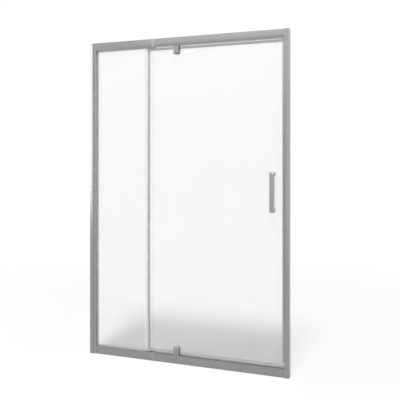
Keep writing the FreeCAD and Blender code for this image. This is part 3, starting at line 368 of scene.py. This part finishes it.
SKINS = {
    "drip_rubber": {
        "dark": (0.60, 0.60, 0.60), "light": (0.68, 0.68, 0.68), "roughness": 0.50, "grains": 900.0},
    "grey_gasket": {
        "dark": (0.66, 0.665, 0.66), "light": (0.76, 0.765, 0.76), "roughness": 0.55, "grains": 900.0},
    "grey_plastic": {
        "dark": (0.36, 0.37, 0.365), "light": (0.44, 0.45, 0.445), "roughness": 0.38, "grains": 1600.0},
    "white_nylon": {
        "dark": (0.72, 0.72, 0.70), "light": (0.82, 0.82, 0.80), "roughness": 0.40, "grains": 1200.0},
    "magnet_strip": {
        "dark": (0.70, 0.70, 0.70), "light": (0.80, 0.80, 0.80), "roughness": 0.50, "grains": 700.0},
}
SKIN_CLOUD = (25.0, 25.0, 25.0)
SPARK_ROUGHENS = 0.12
SPARK_DEPTH = 0.00004


def moulded(name, dark, light, roughness, grains):
    """A dull moulded skin: two tones, a spark texture, and a roughness that wavers with it."""
    graph = new_material(name)
    spark = graph.noise((grains, grains, grains))
    cloud = graph.noise(SKIN_CLOUD, detail=2.0)
    return graph.surface({
        "Base Color": graph.mix(spark * 0.5 + cloud * 0.5, tone(dark), tone(light)),
        "Roughness": roughness + spark * SPARK_ROUGHENS,
        "Normal": graph.bump(spark, SPARK_DEPTH),
    })


skins = {name: moulded(name, **look) for name, look in SKINS.items()}
print("dull skins:", list(skins))

# %% [markdown]
# ## Dressing the solids
# Each solid names a material slot in its record, so dressing is a lookup. Only the aluminium needs a
# second look: its lines follow the bar, so the longer side of the solid's box picks between the two
# directions. A few solids differ from others in their slot, and they are named one by one.

# %% Give every solid its finish

FINISHES = {
    "frosted_glass": glass,
    "satin_chrome": handle_chrome,
    "clear_seal": seal,
    "stainless_steel": steel,
    **skins,
}
# The leaf's two stiles take painted light and the two bottom rails painted shade from these places.
BAR_PLACES = {
    "door_left_stile": "edge",
    "door_right_stile": "leaf",
    "bottom_rail_fixed": "sill",
    "bottom_rail_door": "sill",
    "top_joint_strip": "strip",
}
OWN_FINISHES = {
    "top_pivot_bracket": bracket_chrome,
    "bottom_pivot_bracket": bracket_chrome,
    "door_bottom_profile_left": water_bar,
    "door_bottom_profile_right": water_bar,
    "door_drip_seal": skins["drip_rubber"],
}


def finish_for(name):
    slot = slot_of[name]
    if slot != "satin_aluminium":
        return OWN_FINISHES.get(name, FINISHES[slot])
    low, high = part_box(name)
    size = high - low
    return aluminium[BAR_PLACES.get(name, "frame"), "X" if size.x > size.z else "Z"]


for name, solid in nodes.items():
    solid.data.materials.clear()
    solid.data.materials.append(finish_for(name))
print("dressed:", len(nodes), "solids")

# %% [markdown]
# ## Socket screws
# On the inside of the glass, two button-head screws hold each pivot's clamp plate, and one longer screw
# holds each foot of the handle. Their solids are plain cylinders, so they are turned again here as on a
# lathe, through a row of rings from the tip to the head. A true helix could be spun for the thread, but
# at this size it can't be told from closed rings, and those leave a closed skin. The rings come first:
# point, thread, shank and rounded head.

# %% The rings of a screw

THREAD_PITCH = 0.0008
THREAD_DEPTH = 0.0004
HEAD_EDGE = 0.0008


def screw_rings(tip, thread_end, under_head, top, shank, head):
    """Distance along Y and radius of every ring, from the tip to the top of the head."""
    start = tip + shank / 2
    root = shank - THREAD_DEPTH
    rings = [(tip, shank / 2), (start, root)]
    while start + THREAD_PITCH < thread_end:
        rings += [(start + THREAD_PITCH / 2, shank), (start + THREAD_PITCH, root)]
        start += THREAD_PITCH
    rings += [(start + THREAD_DEPTH, shank), (under_head, shank)]
    rings += [(under_head, head), (top - HEAD_EDGE, head)]
    return rings + [(top - HEAD_EDGE / 3, head - HEAD_EDGE / 3), (top, head - HEAD_EDGE)]


print("thread pitch:", THREAD_PITCH, "thread depth:", THREAD_DEPTH, "head edge:", HEAD_EDGE)

# %% [markdown]
# The turning starts from a filled circle at the tip, which is extruded from ring to ring and scaled at
# each one. A Screw modifier on an outline would do it too, but extruding shows how the skin stays closed:
# every step leaves a band of faces behind it, and the last disc becomes the top of the head.

# %% Turn a closed piece

RING_POINTS = 24
ALONG_Y = (math.pi / 2, 0.0, 0.0)


def lathe(name, x, z, rings):
    """A closed turned piece along Y, pulled from a disc through every ring."""
    bpy.ops.object.select_all(action="DESELECT")
    y, radius = rings[0]
    bpy.ops.mesh.primitive_circle_add(
        vertices=RING_POINTS, radius=radius, fill_type="NGON", location=(x, y, z), rotation=ALONG_Y)
    piece = bpy.context.object
    piece.name = name
    bpy.ops.object.transform_apply(location=True, rotation=True, scale=True)
    bpy.ops.object.mode_set(mode="EDIT")
    for next_y, next_radius in rings[1:]:
        share = next_radius / radius
        bpy.ops.mesh.extrude_region_move(TRANSFORM_OT_translate={"value": (0.0, next_y - y, 0.0)})
        bpy.ops.transform.resize(value=(share, 1.0, share), center_override=(x, next_y, z))
        y, radius = next_y, next_radius
    bpy.ops.mesh.select_all(action="SELECT")
    bpy.ops.mesh.normals_make_consistent(inside=False)
    bpy.ops.object.mode_set(mode="OBJECT")
    return piece


print("points on a ring:", RING_POINTS)

# %% [markdown]
# The key's socket is a hexagon. It could be inset and pushed in on a head with six sides, but the head is
# round, so a six-sided prism is laid in it and cut away with a Boolean, and the prism is then thrown
# away.

# %% Cut the socket for the key

KEY_SIDES = 6


def cut_socket(piece, x, top, z, width, depth):
    """A hexagon for the key, cut into the head. Width is across the flats."""
    radius = width / math.sqrt(3.0)
    bpy.ops.mesh.primitive_cylinder_add(
        vertices=KEY_SIDES, radius=radius, depth=2 * depth, location=(x, top, z), rotation=ALONG_Y)
    key = bpy.context.object
    cut = piece.modifiers.new("socket", "BOOLEAN")
    cut.operation = "DIFFERENCE"
    cut.solver = "EXACT"
    cut.object = key
    bpy.context.view_layer.objects.active = piece
    bpy.ops.object.modifier_apply(modifier=cut.name)
    bpy.data.objects.remove(key)


print("socket sides:", KEY_SIDES)

# %% [markdown]
# Screws that are alike stand in one node, at the corners of its box. They could all be turned one by one,
# but it is quicker to turn the first at the lowest corner and to copy it to the others. Each copy has a
# mesh of its own, and the copies are joined again.

# %% Copy a screw to its places


def select_only(piece):
    bpy.ops.object.select_all(action="DESELECT")
    piece.select_set(True)
    bpy.context.view_layer.objects.active = piece


def copy_and_join(piece, steps):
    """The piece and a copy of it at every step, as one object."""
    copies = [piece]
    for step in steps:
        select_only(piece)
        bpy.ops.object.duplicate_move(TRANSFORM_OT_translate={"value": step})
        copies.append(bpy.context.object)
        bpy.ops.object.transform_apply(location=True, rotation=True, scale=True)
    for copy in copies:
        copy.select_set(True)
    bpy.context.view_layer.objects.active = piece
    bpy.ops.object.join()
    print(piece.name, "screws:", len(copies), "faces:", len(piece.data.polygons))


print("steel nodes:", [name for name, slot in slot_of.items() if slot == "stainless_steel"])

# %% [markdown]
# The places and the length come from the node's own box, so the new screws fill it exactly and move with
# the leaf. Only what the box can't tell is typed: the radii of shank and head, the head's height, the
# length of the thread and the size of the key.

# %% Set the screws in their holes

SMOOTH_BELOW = math.radians(35.0)


def socket_screws(node, shank, head, head_height, thread, key_width, key_depth):
    low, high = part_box(node)
    x, z = low.x + head, low.z + head
    rings = screw_rings(low.y, low.y + thread, high.y - head_height, high.y, shank, head)
    screw = lathe(f"{node}_socket", x, z, rings)
    cut_socket(screw, x, high.y, z, key_width, key_depth)
    screw.data.materials.append(steel)
    select_only(screw)
    bpy.ops.object.shade_smooth_by_angle(angle=SMOOTH_BELOW)
    across = high.x - low.x - 2 * head
    up = high.z - low.z - 2 * head
    steps = [Vector((0.0, 0.0, up))]
    if across > head:
        steps += [Vector((across, 0.0, 0.0)), Vector((across, 0.0, up))]
    copy_and_join(screw, steps)
    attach(screw, "door")
    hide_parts(node)
    corners = [Vector(corner) for corner in screw.bound_box]
    print("  box:", tuple(corners[0]), tuple(corners[6]), "node:", tuple(low), tuple(high))


socket_screws("pivot_bracket_screws", shank=0.0025, head=0.0045, head_height=0.002, thread=0.010,
              key_width=0.003, key_depth=0.0013)
socket_screws("handle_screws", shank=0.003, head=0.0055, head_height=0.0025, thread=0.018,
              key_width=0.004, key_depth=0.0016)

# %% [markdown]
# ## Slide trims
# The posts slide in the wall profiles while the door is being fitted, and a thin trim then closes the
# step between the two, so that no dark slit shows. It could stay a plain bar, but water has to run off
# it, so one upright edge is rounded, the one that faces out and away from the wall. The Bevel operator
# works on what is selected, so that edge is picked by its place first.

# %% Round one upright edge

ROUNDING_STEPS = 4
ROUND_PROFILE = 0.5
NEAR = 1e-6


def round_upright_edge(piece, x, y, radius):
    """Bevels the edge that stands at one X and Y."""
    bpy.ops.object.mode_set(mode="EDIT")
    bpy.ops.mesh.select_mode(type="EDGE")
    bpy.ops.mesh.select_all(action="DESELECT")
    bpy.ops.object.mode_set(mode="OBJECT")
    for edge in piece.data.edges:
        ends = [piece.data.vertices[index].co for index in edge.vertices]
        edge.select = all(abs(end.x - x) < NEAR and abs(end.y - y) < NEAR for end in ends)
    bpy.ops.object.mode_set(mode="EDIT")
    bpy.ops.mesh.bevel(offset=radius, segments=ROUNDING_STEPS, profile=ROUND_PROFILE)
    bpy.ops.object.mode_set(mode="OBJECT")
    bpy.ops.object.shade_smooth_by_angle(angle=SMOOTH_BELOW)


print("steps across a rounded edge:", ROUNDING_STEPS)

# %% [markdown]
# Each trim is as tall as its wall profile and runs from the profile's tip to just inside the face of the
# post, and all of that is read from the boxes of these solids. A copy of the profile could be cut down to
# it, but a cube drawn out to these sizes is simpler and has clean faces. The left trim has a wide
# rounding, and the right one is narrow with a small one, because the leaf's edge is close beside it.

# %% Two slide trims

TRIM_OVERLAP = 0.0002


def slide_trim(name, profile, post, side, width, rounding):
    """A strip from the wall profile's tip to the face of the post that slides in it. Side is -1 for left."""
    profile_low, profile_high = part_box(profile)
    post_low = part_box(post)[0]
    tip = profile_high.x if side < 0 else profile_low.x
    far = tip - side * width
    low = Vector((min(tip, far), profile_low.y, profile_low.z))
    high = Vector((max(tip, far), post_low.y + TRIM_OVERLAP, profile_high.z))
    bpy.ops.object.select_all(action="DESELECT")
    bpy.ops.mesh.primitive_cube_add(size=1.0, location=(low + high) / 2, scale=high - low)
    trim = bpy.context.object
    trim.name = name
    bpy.ops.object.transform_apply(location=True, rotation=True, scale=True)
    round_upright_edge(trim, far, low.y, rounding)
    trim.data.materials.append(aluminium["frame", "Z"])
    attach(trim, "frame")
    print(trim.name, "faces:", len(trim.data.polygons), "from", tuple(low), "to", tuple(high))


slide_trim("left_slide_trim", "left_wall_profile", "left_stile", side=-1, width=0.0035, rounding=0.0033)
slide_trim("right_slide_trim", "right_wall_profile", "strike_jamb", side=1, width=0.0019, rounding=0.0004)

# %% [markdown]
# ## Floor
# The door stands on a wide white plane that takes its soft shadow. White paint alone renders grey away
# from the lamps, and more light would bleach the metal. So Light Path mixes the paint with a white glow.
# To the camera the floor glows more the farther it lies from the door. To metal and glass it glows
# outside a zone round the door, so that the frost shows the shadow inside that zone and white beyond it.

# %% How much the floor glows

GLOW_NEAR = 0.7
GLOW_START = 1.2
GLOW_REACH = 2.5
ZONE_START = 0.62
ZONE_REACH = 0.58
ZONE_FRONT = 0.4


def ramp(graph, value, start, reach):
    """Rises from 0 at start to 1 after its reach."""
    return graph.node("ShaderNodeMapRange", inputs={0: value, 1: start, 2: start + reach})


def outside_zone(graph, place):
    """0 round the door and 1 away from it. The zone is a rectangle that is longer towards the front."""
    parts = graph.node("ShaderNodeSeparateXYZ", inputs={0: place})
    sideways = graph.maths("ABSOLUTE", parts.output("X"), 0.0)
    lengthways = graph.maths("ABSOLUTE", parts.output("Y") + ZONE_FRONT, 0.0) - ZONE_FRONT
    return ramp(graph, graph.maths("MAXIMUM", sideways, lengthways), ZONE_START, ZONE_REACH)


def glow_share(graph):
    """How much of the floor is glow instead of paint, by the kind of ray that asks."""
    place = graph.node("ShaderNodeTexCoord").output("Object")
    distance = graph.node("ShaderNodeVectorMath", {"operation": "LENGTH"}, {0: place}, output="Value")
    far = ramp(graph, distance, GLOW_START, GLOW_REACH)
    path = graph.node("ShaderNodeLightPath")
    direct = path.output("Is Camera Ray") * (GLOW_NEAR + far * (1.0 - GLOW_NEAR))
    passed = graph.maths("MINIMUM", path.output("Is Glossy Ray") + path.output("Is Transmission Ray"), 1.0)
    return graph.maths("MAXIMUM", direct, passed * outside_zone(graph, place))


print("zone sideways from", ZONE_START, "to", ZONE_START + ZONE_REACH, "metres")

# %% [markdown]
# The plane could be just large enough for the shadow, but then its edge would show, so it runs on until
# its far edge can't be told from the white behind it. It lies at the lowest point of the door, which is
# read from the box of the solids, so that the sill stands on it without a gap.

# %% The white floor

FLOOR_SIDE = 60.0
FLOOR_WHITE = (0.84, 0.84, 0.84)
FLOOR_SPECK = (0.82, 0.82, 0.82)
SPECK_GRAIN = (40.0, 40.0, 40.0)
WHITE = (1.0, 1.0, 1.0, 1.0)

bpy.ops.object.select_all(action="DESELECT")
bpy.ops.mesh.primitive_plane_add(size=FLOOR_SIDE, location=(0.0, 0.0, cad_box[0][2]))
floor = bpy.context.object
floor.name = "floor"
paint = new_material("floor_white")
speck = paint.mix(paint.noise(SPECK_GRAIN), tone(FLOOR_WHITE), tone(FLOOR_SPECK))
matt = paint.node("ShaderNodeBsdfDiffuse", inputs={"Color": speck})
glow = paint.node("ShaderNodeEmission", inputs={"Color": WHITE, "Strength": 1.0})
both = paint.node("ShaderNodeMixShader", inputs={0: glow_share(paint), 1: matt, 2: glow})
paint.node("ShaderNodeOutputMaterial", inputs={"Surface": both})
floor.data.materials.append(paint.owner)
print("floor side:", FLOOR_SIDE, "height:", cad_box[0][2])

# %% [markdown]
# ## White surroundings
# The world is white to the camera and to whatever metal and glass show of it, but dimmer as a light, so
# that the lamps still give the forms a light and a dark side. A backdrop could be built for this, but it
# would throw shadows and reflections of its own.

# %% The white world

AMBIENT = 0.32

world = bpy.data.worlds.new("white_studio")
bpy.context.scene.world = world
sky = Graph(world)
path = sky.node("ShaderNodeLightPath")
seen = path.output("Is Camera Ray") + path.output("Is Glossy Ray") + path.output("Is Transmission Ray")
strength = AMBIENT + sky.maths("MINIMUM", seen, 1.0) * (1.0 - AMBIENT)
background = sky.node("ShaderNodeBackground", inputs={"Color": WHITE, "Strength": strength})
sky.node("ShaderNodeOutputWorld", inputs={"Surface": background})
print("ambient share:", AMBIENT)

# %% [markdown]
# ## Sun
# A sun, spread as by haze, stands high in front of the door. It lights the upper sides of the bowed
# rails, and it throws the door's shadow back on the floor, where the frost shows it as a soft grey. A
# lamp nearby could do this too, but its light would fall off from the top rail to the sill, and a sun's
# does not.

# %% A hazy sun

SUN_PLACE = (0.0, -2.0, 4.0)
SUN_HEIGHT = math.radians(62.0)
SUN_TURN = math.radians(3.0)
SUN_SPREAD = math.radians(13.0)
SUN_POWER = 2.1

bpy.ops.object.light_add(type="SUN", location=SUN_PLACE)
sun = bpy.context.object
sun.name = "sun"
sun.rotation_euler = (math.pi / 2 - SUN_HEIGHT, 0.0, SUN_TURN)
sun.data.energy = SUN_POWER
sun.data.angle = SUN_SPREAD
print("sun height in degrees:", math.degrees(SUN_HEIGHT))

# %% [markdown]
# ## Softboxes
# Satin metal shows the lamps themselves as broad soft bands. One large lamp could light the whole door,
# but then all bars would look alike, so each softbox is placed for the surface that should carry its
# band. The front one lights the upper part of the rails, the left one the falling front of the left wall
# profile, the right one the handle and the right post, the corner one the top of that post, and the side
# one the edges that face right.

# %% Five softboxes


def softbox(name, place, target, width, height, power):
    """A broad lamp at a place, turned towards a target. Power is in watts."""
    bpy.ops.object.light_add(type="AREA", location=place)
    lamp = bpy.context.object
    lamp.name = name
    lamp.rotation_euler = (Vector(target) - Vector(place)).to_track_quat("-Z", "Y").to_euler()
    lamp.data.shape = "RECTANGLE"
    lamp.data.size = width
    lamp.data.size_y = height
    lamp.data.energy = power


softbox("softbox_front", place=(-0.2, -2.6, 3.05), target=(-0.2, 0.0, 1.8),
        width=3.0, height=2.5, power=12.0)
softbox("softbox_right", place=(1.65, -3.2, 1.1), target=(0.55, 0.0, 1.0),
        width=1.0, height=1.8, power=2.6)
softbox("softbox_corner", place=(2.2, -2.6, 2.7), target=(0.58, 0.0, 1.8),
        width=1.0, height=1.2, power=3.8)
softbox("softbox_left", place=(-2.55, -1.15, 1.9), target=(-0.6, 0.0, 1.6),
        width=1.4, height=2.5, power=28.0)
softbox("softbox_side", place=(2.6, -1.2, 1.2), target=(0.0, 0.0, 1.1),
        width=1.6, height=1.8, power=14.0)

# %% [markdown]
# ## Camera
# The uprights of the door are parallel in the picture. A camera that is tilted down would make them lean,
# so this one is level and its lens is shifted instead. It stands to the right of the door and looks a
# little to the left.

# %% The camera

CAMERA_PLACE = (1.174, -2.999, 1.154)
CAMERA_TURN = math.radians(19.8)
CAMERA_LENS = 51.2
CAMERA_SENSOR = 36.0
CAMERA_SHIFT = -0.10

bpy.ops.object.camera_add(location=CAMERA_PLACE, rotation=(math.pi / 2, 0.0, CAMERA_TURN))
camera = bpy.context.object
camera.name = "camera"
camera.data.sensor_width = CAMERA_SENSOR
camera.data.lens = CAMERA_LENS
camera.data.shift_y = CAMERA_SHIFT
bpy.context.scene.camera = camera
bpy.context.scene.view_settings.view_transform = "Standard"
print("camera at:", CAMERA_PLACE)
